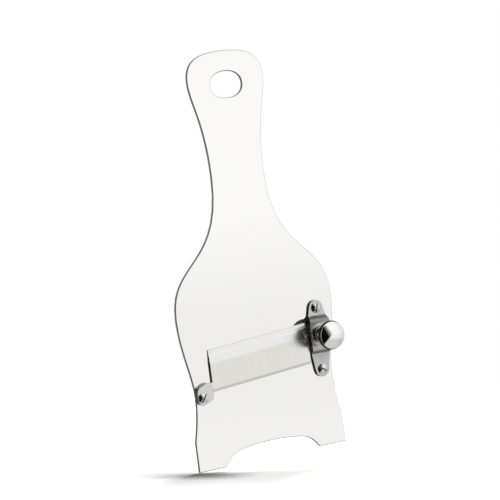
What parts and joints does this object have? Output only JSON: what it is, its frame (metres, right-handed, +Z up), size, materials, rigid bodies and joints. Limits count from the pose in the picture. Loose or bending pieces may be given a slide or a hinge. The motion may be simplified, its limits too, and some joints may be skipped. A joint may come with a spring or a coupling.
{
  "type": "truffle slicer",
  "caption": "Flat steel hand slicer with a slanting blade over a slot, clamped at one end and raised at the other by a domed knob on a bridge, with a hanging hole in its handle.",
  "frame": {"origin": "centre of the oval hanging hole, half way through the plate", "axes": "+X to the right seen from the front, +Y out of the plate's back, +Z up the handle"},
  "size_m": [0.0824, 0.0176, 0.19],
  "materials": {
    "polished_steel": "mirror-polished stainless steel",
    "ground_steel": "ground across its width, fine grain",
    "clip_steel": "satin brushed",
    "knob_steel": "turned and polished",
    "bright_steel": "bright, machined"
  },
  "bodies": {
    "frame": {"plate": "polished_steel", "blade_clamp": "clip_steel", "clamp_screw": "bright_steel", "bridge": "clip_steel", "bridge_upper_screw": "bright_steel", "bridge_lower_screw": "bright_steel"},
    "blade": {"blade": "ground_steel", "blade_insert": "bright_steel"},
    "knob": {"knob": "knob_steel", "spindle": "bright_steel", "knob_washer": "bright_steel"}
  },
  "joints": [
    {"name": "knob_turn", "type": "hinge", "parent": "frame", "child": "knob", "pos_m": [0.0311, -0.00425, -0.1216], "axis": [0, 1, 0], "range_deg": [0, 540]},
    {"name": "blade_tilt", "type": "hinge", "parent": "frame", "child": "blade", "pos_m": [-0.0337, -0.00145, -0.1404], "axis": [0, 0, -1], "range_deg": [0, 0.94]}
  ],
  "couplings": [
    {"joint": "blade_tilt", "follows": "knob_turn", "ratio": 0.0017193}
  ]
}
